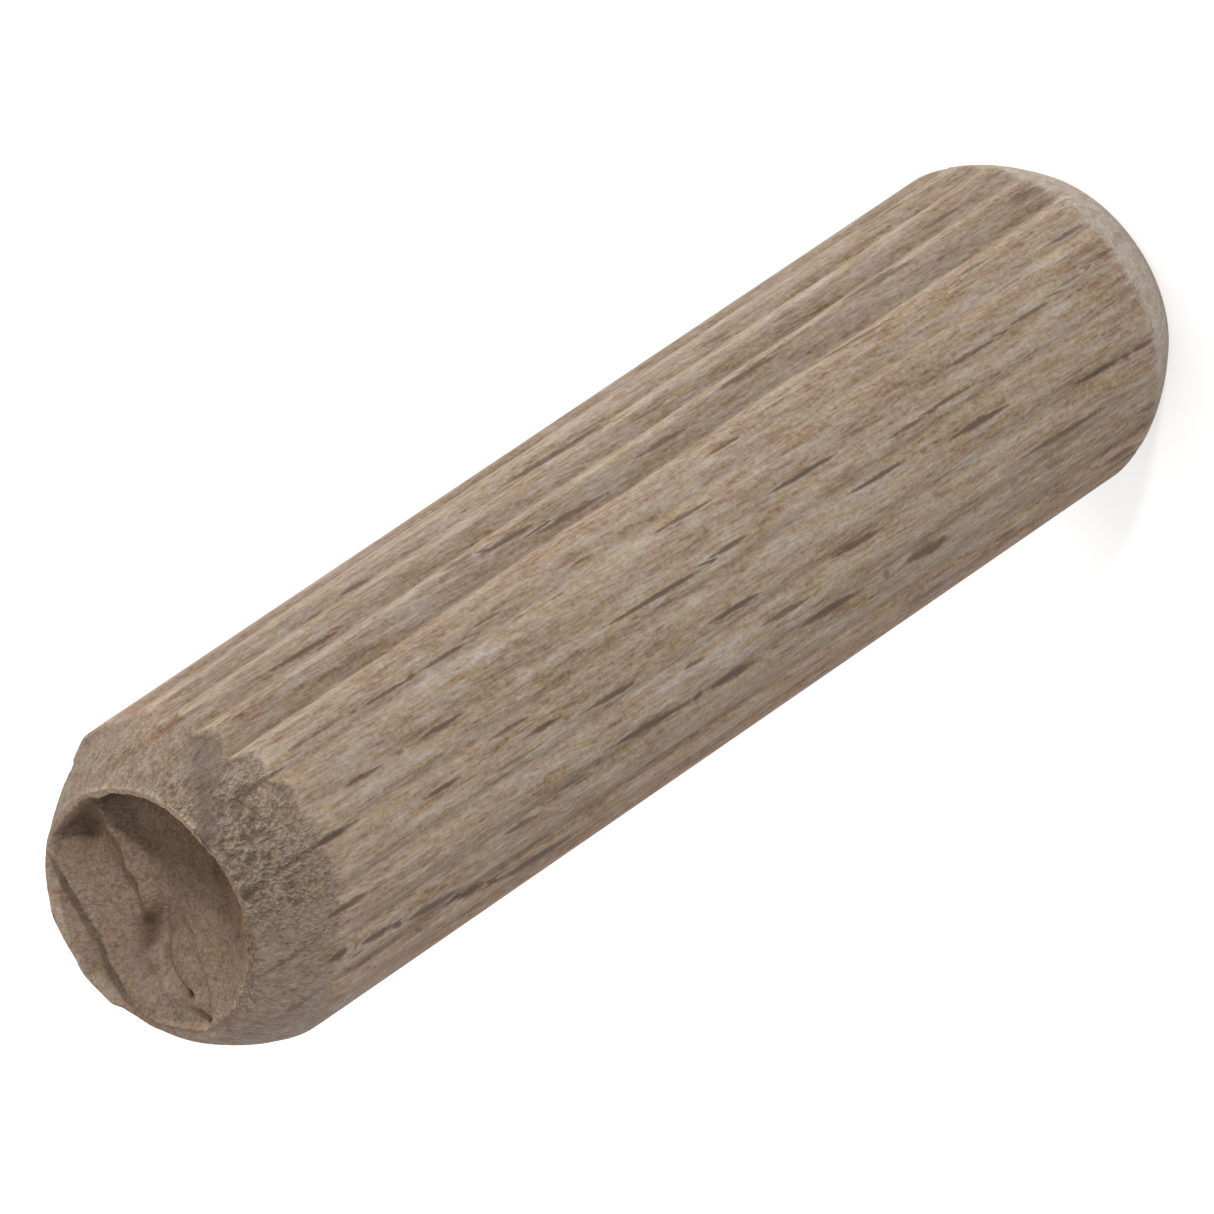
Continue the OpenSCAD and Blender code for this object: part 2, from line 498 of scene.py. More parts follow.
def taperTears(turn, height, rod, fluteDrop, torn):
    # For the side: 1 where a taper is torn, how deep it is sunk there, how rough it is, 1 in the pits and
    # cracks between tufts, and 1 in the valley
    front = frontDegrees(turn)
    fromEnd = dowelLength - height
    arc = turn * dowelRadius
    follow = blend(*torn["borderFollow"], rise(front, *torn["borderFollowChange"]))
    waver = sheetNoise(arc, height, (0.4, 0.5), 11) + sheetNoise(arc, height, (0.15, 0.2), 14)
    cut = dowelRadius - rod - follow * fluteDrop + torn["borderWaver"] * waver
    cut = cut - torn["borderCut"] - bell(front, *torn["borderLate"])
    cutShare = rise(cut, -torn["borderBlur"], torn["borderBlur"])
    valley = bell(front, lineAcross(fromEnd, torn["valley"]), torn["valleyHalf"])
    valley = valley * between(fromEnd, *torn["valleyReach"])
    tufts = 0.7 * sheetNoise(arc, height, (0.13, 0.17), 12) + 0.3 * sheetNoise(arc, height, (0.3, 0.4), 13)
    pits = rise(-tufts, 0.15, 0.5) * (1 - 0.8 * valley)
    pits = pits * (1 - 0.6 * rise(fromEnd, *torn["pitsBelow"]))
    cracks = latticeNoise(arc / 0.16 + height, height / 0.4, 0, 15)
    cracks = rise(cracks + 0.5 * sheetNoise(arc, height, (0.1, 0.13), 16), 0.25, 0.65) * (1 - valley)
    cracks = cracks * bell(front, *torn["crackTurn"]) * fall(fromEnd, *torn["cracksBelow"])
    roughness = rise(front, *torn["roughStart"]) * (1 - 0.6 * rise(front, *torn["roughStop"]))
    roughness = roughness * (1 - 0.5 * rise(fromEnd, *torn["roughBelow"]))
    roughness = blend(torn["leastRough"], 1, roughness)
    sunk = roughness * (torn["tuftDepth"] * (1 + tufts) * (1 - valley) + torn["pitDepth"] * pits)
    sunk = sunk + torn["stepDepth"] * rise(front, *torn["stepChange"])
    sunk = sunk * rise(fromEnd, -0.2, 0.4) + torn["valleyDepth"] * valley + torn["crackDepth"] * cracks
    return cutShare, cutShare * sunk, roughness, np.maximum(pits * roughness, cracks), valley


sideTone = {
    # A stained ray runs down the torn taper: x and half width, and distances below the end
    "ray": (3.9, 0.09),
    "rayReach": ((0.2, 0.6), (2.1, 2.5)),
    "rayDarker": (1.3, 1.9),
    # Stripes along the ribs: turn, half width, how strong, and where each starts and stops below the end
    # The stripe at turn 65 is a painted highlight on a rib's crest
    "paleStripes": ((-50, 9, 0.7, (-2, -1), (4, 9)), (65, 5, 0.5, (1.0, 1.5), (3, 4))),
    "darkStripes": ((74, 4, 0.7, (-2, -1), (3, 10)),),
    # This stripe is painted shade in the flute at turn 77
    "cornerStripes": ((77, 5, 0.5, (1.9, 2.3), (3, 4)),),
    # Over these turns the shaft is paler and a little stained, and towards -X the torn taper is paler
    "lowSide": ((-130, -110), (-70, -52)),
    "lowSidePale": 0.45,
    "lowSideStain": 0.3,
    "tornPale": (-60, -42),
    # Darker over these heights and past these turns towards +X, near the torn end
    "upperDarkening": 0.35,
    "upperDarkeningHeights": ((24, 33), (36, 37.5)),
    "upperDarkeningTurns": (-20, 10),
}


def dowelSide(turn, height, rim, shaft, torn, tone):
    # Radius and height of the fluted and torn side, and what the material reads there
    brokenIn, rimDrop, _ = rim
    front = frontDegrees(turn)
    fromEnd = dowelLength - height
    tornHalf = height > dowelLength / 2
    fluteDrop, dirt = fluteForm(turn, height, shaft)
    rod = rodRadius(height, front, shaft)
    cutShare, sunk, roughness, pits, valley = taperTears(turn, height, rod, fluteDrop, torn)
    rings = np.minimum(dowelRadius - fluteDrop, rod) - sunk * tornHalf
    rings = rings - brokenIn * rise(height, dowelLength - 0.25, dowelLength)
    # The side stays inside the solid's box, whose half width is the reach of the crests beside the axes
    reach = cadBox[1][0] / metresPerMm - shaft["boxGap"]
    rings = np.minimum(rings, reach / np.maximum(np.abs(np.cos(turn)), np.abs(np.sin(turn))))
    lowered = height - rise(height, dowelLength - 0.8, dowelLength) * rimDrop

    onTorn = cutShare * tornHalf
    plainTorn = rise(dowelRadius - rod, 0.02, 0.2) * (1 - tornHalf)
    lowSide = between(front, *tone["lowSide"]) * (1 - onTorn)
    upperDarkening = tone["upperDarkening"] * between(height, *tone["upperDarkeningHeights"]) * rise(front, *tone["upperDarkeningTurns"])
    pale = stripesOf(front, fromEnd, tone["paleStripes"])
    pale += [onTorn * fall(front, *tone["tornPale"]), tone["lowSidePale"] * lowSide]
    ray = bell(rings * np.cos(turn), *tone["ray"]) * (np.sin(turn) < 0)
    ray = ray * between(fromEnd, *tone["rayReach"]) * (0.65 + 0.6 * rise(fromEnd, *tone["rayDarker"]))
    dark = sum(stripesOf(front, fromEnd, tone["darkStripes"])) * (1 - onTorn)
    stainsAndShades = stripesOf(front, fromEnd, tone["cornerStripes"]) + [ray, tone["lowSideStain"] * lowSide + dark]
    return rings, lowered, {
        "torn": onTorn * (0.25 + 0.75 * roughness) * (1 - 0.7 * valley),
        "cut": onTorn * (1 - 0.4 * rise(-front, 60, 75)),
        # The plain taper's paleness is partly painted light, stronger on the side between +X and -Y that
        # faces the lamps
        "plainTorn": plainTorn * (0.5 + 0.5 * rise(-np.sin(turn - 0.9), -0.3, 0.1)),
        "dirt": (1 - np.maximum(onTorn, plainTorn)) * np.minimum(dirt + upperDarkening, 1.2),
        # Painted shade in the smooth valley of the torn taper
        "valley": onTorn * valley,
        "paler": np.max(np.broadcast_arrays(*pale), 0),
        "stain": np.max(np.broadcast_arrays(*stainsAndShades), 0),
        # Painted shade in the pits and cracks between the tufts
        "pit": onTorn * pits,
        "lip": rise(height, dowelLength - 0.2, dowelLength) * lipShare(turn),
    }


def lipShare(turn):
    # How pale the lip is: palest towards +X, and not at all where the rim is open
    return (1 - openShare(turn, hollowForm)) * (0.5 + 0.5 * rise(np.cos(turn), -0.2, 0.5))


def rimForm(turn, form):
    # At each turn: how far the rim is broken in and down, and how much wider the lip is
    front = frontDegrees(turn)
    ragged = form["rimWaver"] * blend(form["rimWaverElsewhere"], 1, bell(front, *form["rimWaverTurn"]))
    brokenIn = ragged * (1 + 0.6 * rimNoise(turn, 9, 34) + 0.4 * rimNoise(turn, 24, 35))
    low = between(front, *form["rimDropTurns"]) * (1 - 0.8 * openShare(turn, form))
    drop = form["rimDrop"] * low + form["rimUneven"] * (1 + rimNoise(turn, 6, 25))
    drop = drop + 0.5 * ragged * (1 + rimNoise(turn, 20, 36)) + bell(front, *form["cornerDrop"])
    wider = 1 + 0.5 * rimNoise(turn, 7, 37) + 0.6 * rimNoise(turn, 16, 38) + 0.3 * rimNoise(turn, 35, 39)
    return brokenIn, drop, form["lipWaver"] * wider * (1 - bell(front, *form["lipNarrower"]))


def dowelInside(turn, radii, rim, form, torn, tone):
    # Radius and height of the inside, from the lip to the middle, and what the material reads there
    brokenIn, rimDrop, wider = rim
    rings = radii - brokenIn * rise(radii, 2.6, holeRadius)
    lip = rise(tornRadius - radii, 0, form["lipWidth"]) * rise(radii, holeRadius - 0.5, holeRadius)
    rings = rings - wider * lip
    x, y = rings * np.cos(turn), rings * np.sin(turn)
    marks = hollowMarks(x, y, form, tone)
    tufts = 0.6 * sheetNoise(x, y, (0.13, 0.13), 21) + 0.4 * sheetNoise(x, y, (0.5, 0.3), 22)
    depth = hollowDepth(x, y, form) + (1 - 0.85 * marks["smooth"]) * torn["floorTuftDepth"] * (1 + tufts)
    wallWidth = blend(form["wallWidth"], form["openRimWidth"], openShare(turn, form))
    wall = rise((holeRadius - radii) / wallWidth, 0, 1)
    wall = np.maximum(wall, marks["behind"] * rise(tornRadius - radii, 0, 0.05))
    lowered = rise(radii, holeRadius - 0.25, holeRadius) * rimDrop
    height = dowelLength - np.maximum(wall * depth, lowered)
    lip = rise(radii, holeRadius - 0.14, holeRadius - 0.05) * lipShare(turn)
    return rings, height, {
        "torn": 1 - 0.9 * marks["smooth"],
        "endGrain": 1 - 0.8 * marks["open"],
        "paler": marks["pale"],
        "shade": (1 - lip) * marks["shade"],
        "pit": marks["pit"],
        "lip": np.maximum(lip, 0.1 * marks["drop"]),
    }


def sectionRows(shaft, hollow):
    # Rows of the section: radii across the plain end, heights up the side, radii across the hollow
    plainTop = shaft["plainTaperHeight"]
    plainRadius = dowelRadius - shaft["plainTaperIn"]
    tornFoot = dowelLength - shaft["tornTaperHeight"]
    endRadii = np.linspace(0, plainRadius, shaft["plainEndRows"], endpoint=False)[1:]
    height = np.concatenate((
        np.linspace(0, plainTop, shaft["plainTaperRows"], endpoint=False),
        np.linspace(plainTop, tornFoot, shaft["shaftRows"], endpoint=False),
        np.linspace(tornFoot, dowelLength, shaft["tornTaperRows"]),
    ))
    lipRadii = np.linspace(tornRadius, holeRadius, hollow["lipRows"] + 1)[1:]
    wallRadii = np.linspace(holeRadius, holeRadius - hollow["wallWidth"], hollow["wallRows"] + 1)[1:]
    floorRadii = np.linspace(wallRadii[-1], 0, hollow["floorRows"], endpoint=False)[1:]
    return endRadii[:, None], height[:, None], np.concatenate((lipRadii, wallRadii, floorRadii))[:, None]


def dowelSurface(shaft, hollow, torn):
    # One closed sheet over two parameters: the turn around the axis, and the row along the section, from
    # the middle of the plain end, up the side, over the lip and down to the middle of the hollow
    columns = shaft["fluteCount"] * shaft["columnsPerFlute"]
    turn = np.arange(columns) / columns * 2 * math.pi - math.pi / 2
    endRadii, height, innerRadii = sectionRows(shaft, hollow)
    rim = rimForm(turn, hollow)
    side, sideHeight, sideMarks = dowelSide(turn, height, rim, shaft, torn, sideTone)
    inside, insideHeight, insideMarks = dowelInside(turn, innerRadii, rim, hollow, torn, hollowTone)

    plainEnd = endRadii + 0 * turn
    radius = np.concatenate((plainEnd, side, inside))
    z = np.concatenate((0 * plainEnd, sideHeight, insideHeight))
    grid = np.stack((radius * np.cos(turn), radius * np.sin(turn), z), -1)
    points = np.concatenate(([(0, 0, 0)], grid.reshape(-1, 3), [(0, 0, z[-1].mean())]))

    # What the material reads: one value for each point, and 0 where a part has none
    parts = ((plainEnd, {"endGrain": 1}), (side, sideMarks), (inside, insideMarks))
    values = {}
    for name in "torn cut endGrain plainTorn dirt valley paler stain shade pit lip".split():
        rows = np.concatenate([np.broadcast_to(marks.get(name, 0), part.shape) for part, marks in parts])
        values[name] = np.concatenate(([rows[0, 0]], rows.ravel(), [rows[-1, 0]]))
    return points, z.shape, values


rayFlecks = {
    # In front: turn, how far below the torn end it starts and stops, half width, and how dark
    "front": (
        (-37.5, 0.0, 1.5, 0.06, 0.6), (-57.5, 0.4, 1.7, 0.06, 0.6), (-11.3, 0.8, 2.0, 0.05, 0.9),
        (-48.1, 1.85, 2.35, 0.1, 0.9), (-11.6, 0.0, 0.45, 0.15, 1.3), (15.3, 1.3, 1.9, 0.15, 1.0),
        (58, 9.8, 11.2, 0.06, 0.8), (57, 16.9, 21.1, 0.07, 0.8), (61, 25.7, 27.1, 0.05, 0.6),
        (68, 33.3, 37, 0.03, 0.5), (51, 1.7, 3.1, 0.06, 0.6), (45, 5.6, 8.2, 0.06, 0.9),
        (48, 21.5, 22.7, 0.05, 0.6), (50, 27.8, 28.9, 0.05, 0.5), (47, 34.2, 35.6, 0.06, 0.7),
        (40, 12.2, 13.4, 0.06, 0.7), (36.5, 13.7, 15.7, 0.07, 0.9), (31, 15.6, 18.2, 0.07, 0.8),
        (34.2, 20.1, 22.2, 0.06, 0.8), (38.5, 23.9, 26.4, 0.08, 0.8), (40, 29.8, 32.7, 0.07, 0.7),
        (36, 36.7, 38, 0.06, 0.6), (26, 27.2, 30.4, 0.03, 0.7), (24, 33, 34.4, 0.04, 0.6),
        (21, 21.7, 23, 0.04, 0.8), (18, 3.3, 4.1, 0.04, 0.7), (17.5, 4.6, 5.2, 0.04, 0.7),
        (15, 0.8, 2.7, 0.07, 0.9), (16, 6.4, 8.1, 0.05, 0.8), (15.3, 8.7, 10.6, 0.05, 0.8),
        (17.5, 11.2, 12.3, 0.04, 0.7), (16, 15.2, 16.2, 0.04, 0.7), (15.5, 36.4, 38, 0.06, 0.7),
        (9.5, 18.2, 20.6, 0.05, 0.8), (3.5, 37.1, 38.6, 0.05, 0.7), (2.5, 35.6, 36.7, 0.04, 0.6),
        (1, 30.4, 32.6, 0.05, 0.7), (1, 33.4, 35.1, 0.05, 0.7), (-0.5, 22.6, 25.3, 0.06, 0.9),
        (-1.5, 4.1, 5.6, 0.05, 0.8), (-2.3, 7.2, 8.8, 0.06, 0.9), (-6.5, 14.9, 19.1, 0.06, 0.9),
        (-6.3, 19.3, 21.1, 0.06, 0.9), (-7, 27.2, 28.9, 0.05, 0.8), (-7, 29.1, 30.8, 0.05, 0.8),
        (-11.3, 1.6, 3.8, 0.07, 1.0), (-14.8, 9.3, 10.9, 0.06, 0.8), (-14.8, 25.1, 27.4, 0.06, 0.9),
        (-18.5, 6.2, 7.8, 0.06, 0.9), (-20.7, 10.6, 11.9, 0.06, 0.9), (-18.8, 29.3, 31.9, 0.08, 0.9),
        (-25, 13, 15.1, 0.06, 0.9), (-24.8, 9, 10.7, 0.04, 0.5), (-24, 18.3, 20.6, 0.07, 0.9),
        (-29.5, 23.8, 25.8, 0.07, 0.9), (-27.5, 34.7, 36.8, 0.07, 0.9), (-29, 37.2, 38.4, 0.06, 0.8),
        (-32, 17, 18, 0.05, 0.8), (-35.5, 20.3, 22.4, 0.07, 0.8), (-33.5, 1.8, 3.4, 0.07, 0.9),
        (-39.3, 31.8, 35.5, 0.07, 0.8), (-42, 13.7, 16.9, 0.07, 0.9), (-44.5, 18.1, 20.1, 0.09, 0.9),
        (-45, 22, 24.7, 0.09, 0.9), (-48, 26.6, 28.6, 0.12, 0.9), (-46.5, 9.2, 10.5, 0.06, 0.7),
        (-43.7, 11.3, 12.7, 0.05, 0.6), (-50.5, 2.9, 4.2, 0.07, 0.9), (-54.2, 4.8, 7.2, 0.08, 0.9),
        (-60, 7.3, 8.6, 0.08, 0.9), (-66.5, 8.9, 12.4, 0.08, 0.9), (-71, 27.1, 30.7, 0.06, 0.8),
        (-67.5, 31, 32.2, 0.05, 0.6), (-66.5, 36, 37.6, 0.07, 0.7), (-51.5, 37.1, 38.1, 0.06, 0.6),
        (-75, 17.9, 19.2, 0.06, 0.8), (-62, 33.3, 34.6, 0.05, 0.5),
    ),
    # Behind, strewn over ranges: sine of the turn, height of the middle, half length before it is raised to
    # the power, half width, and how dark
    "behindCount": 95,
    "seed": 9,
    "behindRanges": ((-0.88, 0.88), (0.5, 39.5), (0.4, 1.7), (0.04, 0.1), (0.5, 1.0)),
    "lengthPower": 1.2,
    # A point is near a fleck up to this far beside it, and four times as far past its ends
    "reach": 0.1,
    # Flecks fade out where Y is a small share of the radius and the sheets lie along the surface
    "sheetsSeen": (0.15, 0.4),
}
grainSlope = 0.0437              # sideways run of the grain along X for each step up


def fleckMarks(points, flecks):
    # For each point the place in its nearest fleck, across and along it in half widths and half lengths,
    # and how dark it is. A fleck is a thin sheet along Y and Z that leans with the grain and shows where it
    # meets the surface, in front or behind, so its width is measured along X.
    front, start, stop, halfWidth, dark = np.array(flecks["front"]).T
    middle = dowelLength - (start + stop) / 2
    placed = np.sin(np.radians(front)), middle, (stop - start) / 2, halfWidth, dark, -np.ones(len(front))
    rng = np.random.default_rng(flecks["seed"])
    count = flecks["behindCount"]
    behind = [rng.uniform(low, high, count) for low, high in flecks["behindRanges"]] + [np.ones(count)]
    behind[2] **= flecks["lengthPower"]
    x, y, z = points.T
    nearest = np.full(len(points), np.inf)
    marks = np.zeros((len(points), 3))
    reach = flecks["reach"]
    for turnSine, middle, halfLength, halfWidth, dark, side in np.concatenate((placed, behind), 1).T:
        across = x - dowelRadius * turnSine - grainSlope * (z - middle)
        along = z - middle
        gap = np.hypot(across / (halfWidth + reach), along / (halfLength + 4 * reach)) + 9 * (y * side < 0)
        closer = gap < nearest
        nearest = np.where(closer, gap, nearest)
        strength = dark * fall(gap, 1.0, 1.5)
        mark = np.stack((across / halfWidth, along / halfLength, strength), -1)
        marks = np.where(closer[:, None], mark, marks)
    marks[:, 2] *= rise(np.abs(y) / np.maximum(np.hypot(x, y), 0.01), *flecks["sheetsSeen"])
    return marks


def closedGridMesh(name, points, shape):
    # Quads between neighbouring rows and columns, which close around the axis, and a fan at each pole
    rows, columns = shape
    index = 1 + np.arange(rows * columns).reshape(rows, columns)
    beside = np.roll(index, -1, 1)
    quads = np.stack((index[:-1], beside[:-1], beside[1:], index[1:]), -1).reshape(-1, 4)
    foot = np.stack((np.zeros(columns, int), beside[0], index[0]), -1)
    top = np.stack((np.full(columns, len(points) - 1), index[-1], beside[-1]), -1)
    loops = np.concatenate((quads.ravel(), foot.ravel(), top.ravel()))
    sizes = np.concatenate((np.full(len(quads), 4), np.full(2 * columns, 3)))
    mesh = bpy.data.meshes.new(name)
    mesh.vertices.add(len(points))
    mesh.vertices.foreach_set("co", (points * metresPerMm).ravel())
    mesh.loops.add(len(loops))
    mesh.loops.foreach_set("vertex_index", loops)
    mesh.polygons.add(len(sizes))
    mesh.polygons.foreach_set("loop_start", np.concatenate(([0], np.cumsum(sizes)[:-1])))
    mesh.polygons.foreach_set("loop_total", sizes)
    mesh.polygons.foreach_set("use_smooth", np.ones(len(sizes), bool))
    mesh.update(calc_edges=True)
    mesh.validate()
    print("mesh", name, len(points), "points,", 2 * len(quads) + 2 * columns, "triangles")
    return mesh


dowelPoints, dowelGrid, dowelMarks = dowelSurface(shaftForm, hollowForm, tornGrain)
dowelMesh = closedGridMesh("dowel", dowelPoints, dowelGrid)
for markName, markValues in dowelMarks.items():
    layer = dowelMesh.attributes.new(markName, "FLOAT", "POINT")
    layer.data.foreach_set("value", markValues)
fleckValues = fleckMarks(dowelPoints, rayFlecks)
fleckLayer = dowelMesh.attributes.new("fleck", "FLOAT_VECTOR", "POINT")
fleckLayer.data.foreach_set("vector", fleckValues.ravel())
dowel = newObject("dowel", dowelMesh)
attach(dowel, "root")
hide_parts("dowel_pin")


def addNode(tree, kind, inputs=None, **settings):
    # A node whose sockets, given by name or number, take a value or another node's output
    node = tree.nodes.new("ShaderNode" + kind)
    for name, value in settings.items():
        setattr(node, name, value)
    for socket, value in (inputs or {}).items():
        if isinstance(value, bpy.types.NodeSocket):
            tree.links.new(value, node.inputs[socket])
        else:
            node.inputs[socket].default_value = value
    return node


def newMaterial(name):
    material = bpy.data.materials.new(name)
    material.use_nodes = True
    material.node_tree.nodes.clear()
    return material, material.node_tree


def mathOf(tree, operation, a, b=0.0):
    return addNode(tree, "Math", {0: a, 1: b}, operation=operation).outputs[0]


def productOf(tree, first, *others):
    for other in others:
        first = mathOf(tree, "MULTIPLY", first, other)
    return first


def mostOf(tree, first, *others):
    for other in others:
        first = mathOf(tree, "MAXIMUM", first, other)
    return first


def sumOf(tree, *parts):
    # Adds up pairs of a value and its weight
    total = 0.0
    for value, weight in parts:
        total = addNode(tree, "Math", {0: value, 1: weight, 2: total}, operation="MULTIPLY_ADD").outputs[0]
    return total


def stepOf(tree, value, low, high):
    # Rises smoothly from 0 at low to 1 at high
    inputs = {"Value": value, "From Min": low, "From Max": high}
    return addNode(tree, "MapRange", inputs, interpolation_type="SMOOTHSTEP").outputs[0]


def scaledBy(tree, place, scale):
    return addNode(tree, "VectorMath", {0: place, "Scale": scale}, operation="SCALE").outputs[0]


def splitOf(tree, vector):
    return addNode(tree, "SeparateXYZ", {0: vector}).outputs


def joinedOf(tree, x, y, z=0.0):
    return addNode(tree, "CombineXYZ", {0: x, 1: y, 2: z}).outputs[0]


def noiseOf(tree, place, perMm, detail=2.0, roughness=0.55, shift=0.0):
    # Noise around 0 whose marks are one over perMm long along X, Y and Z
    inputs = {0: place, 1: perMm, 2: (shift, shift, shift)}
    scaled = addNode(tree, "VectorMath", inputs, operation="MULTIPLY_ADD").outputs[0]
    inputs = {"Vector": scaled, "Scale": 1.0, "Detail": detail, "Roughness": roughness}
    return mathOf(tree, "SUBTRACT", addNode(tree, "TexNoise", inputs).outputs[0], 0.5)


def crumbsOf(tree, place, perMm):
    # Crumbs one over perMm long: how far a place is from its crumb's middle, and a value for each crumb
    scaled = addNode(tree, "VectorMath", {0: place, 1: perMm}, operation="MULTIPLY").outputs[0]
    cells = addNode(tree, "TexVoronoi", {"Vector": scaled, "Scale": 1.0}).outputs
    return cells["Distance"], addNode(tree, "SeparateColor", {0: cells["Color"]}).outputs[0]


def mixOf(tree, share, first, second, **settings):
    return addNode(tree, "Mix", {0: share, 6: first, 7: second}, data_type="RGBA", **settings).outputs[2]


def tintOf(tree, colour, share, tint):
    # Multiplies the colour by the tint, by that share
    return mixOf(tree, share, colour, tint, blend_type="MULTIPLY")


def markOf(tree, name, output="Fac"):
    return addNode(tree, "Attribute", attribute_name=name).outputs[output]


def bumpOf(tree, height, distance, normal=None):
    # Bends the surface's normal, or the given one, by a height in shares of a distance in millimetres
    inputs = {"Height": height, "Strength": 1.0, "Distance": distance * metresPerMm}
    if normal is not None:
        inputs["Normal"] = normal
    return addNode(tree, "Bump", inputs).outputs[0]


beechTones = (
    (0.00, (0.120, 0.068, 0.041, 1)),
    (0.30, (0.230, 0.150, 0.096, 1)),   # dark fibre
    (0.50, (0.303, 0.219, 0.153, 1)),
    (0.65, (0.346, 0.266, 0.201, 1)),
    (0.85, (0.400, 0.333, 0.277, 1)),
    (1.00, (0.440, 0.385, 0.337, 1)),   # pale fibre
)
beechLook = {
    # Marks per millimetre along X, Y and Z, and how much paler they are
    "streaks": ((4.5, 4.5, 0.5), 1.05),
    "fibres": ((12.0, 12.0, 2.2), 0.85),
    "patches": ((1.6, 1.6, 0.12), 0.45),
    "dashes": ((7.0, 7.0, 0.9), -0.12),
    "speckle": ((7.0, 7.0, 7.0), 0.75),
    "tone": 0.56,
    # Tint of the dirt and painted shade in the flutes, and of the darker +X side near the torn end
    "dirtAndShadeColour": (0.77, 0.76, 0.76, 1),
    # The torn grain: marks per millimetre, and by how many millimetres the tufts shift the crumbs
    "coarse": (4.0, 4.0, 2.5),
    "fine": (8.0, 8.0, 5.0),
    "crumbs": (12.0, 12.0, 6.5),
    "crumbShift": 0.2,
    "tornShare": 0.8,
    "tornDark": (0.137, 0.092, 0.063, 1),
    "tornPale": (0.345, 0.266, 0.200, 1),
    "hollowShare": 0.35,
    "hollowDark": (0.180, 0.118, 0.078, 1),
    "hollowPale": (0.300, 0.215, 0.151, 1),
    "cutColour": (0.74, 0.725, 0.715, 1),
    "pitShadeShare": 0.7,
    "pitShadeColour": (0.11, 0.072, 0.048, 1),
    "shadeColour": (0.75, 0.65, 0.57, 1),
    "valleyColour": (0.62, 0.6, 0.63, 1),
    "palerColour": (1.2, 1.2, 1.26, 1),
    "stainColour": (0.88, 0.7, 0.56, 1),
    "lipColour": (1.38, 1.4, 1.42, 1),
    # The worn taper of the plain end: paler for its torn fibres, and for painted light, as it faces down
    # towards the floor
    "wornAndLitShare": 0.7,
    "wornAndLitDark": (0.38, 0.315, 0.262, 1),
    "wornAndLitPale": (0.58, 0.51, 0.445, 1),
    # Patches that are a little yellower or greyer, and the noise at which they are fully so
    "tints": (4.5, 4.5, 0.8),
    "tintReach": 0.2,
    "yellowTint": (1.0, 0.99, 0.85, 1),
    "greyTint": (0.985, 0.985, 1.05, 1),
    # A fleck fades in from the first to the second distance from its middle, in half widths
    "fleckEdge": (1.7, 0.45),
    "fleckColour": (0.105, 0.065, 0.046, 1),
    "grainRelief": 0.06,
    "tornRelief": 0.1,
    "roughness": 0.75,
    "specular": 0.3,
}


def toneRamp(tree, tone, stops):
    ramp = addNode(tree, "ValToRGB", {0: tone})
    elements = ramp.color_ramp.elements
    while len(elements) < len(stops):
        elements.new(0.5)
    for element, (position, colour) in zip(elements, stops):
        element.position = position
        element.color = colour
    return ramp.outputs[0]


def tuftsOf(tree, grain, look):
    # How high the torn grain stands, around 0: tufts, and crumbs that they shift to the side
    coarse = noiseOf(tree, grain, look["coarse"], shift=51.0)
    fine = noiseOf(tree, grain, look["fine"], roughness=0.6, shift=61.0)
    shifts = [productOf(tree, noise, look["crumbShift"]) for noise in (fine, coarse)]
    warped = addNode(tree, "VectorMath", {0: grain, 1: joinedOf(tree, *shifts)}).outputs[0]
    fromMiddle, crumbTone = crumbsOf(tree, warped, look["crumbs"])
    domes = mathOf(tree, "SUBTRACT", 0.55, fromMiddle)
    steps = mathOf(tree, "SUBTRACT", crumbTone, 0.5)
    return sumOf(tree, (coarse, 0.5), (fine, 0.5), (domes, 0.55), (steps, 0.25))


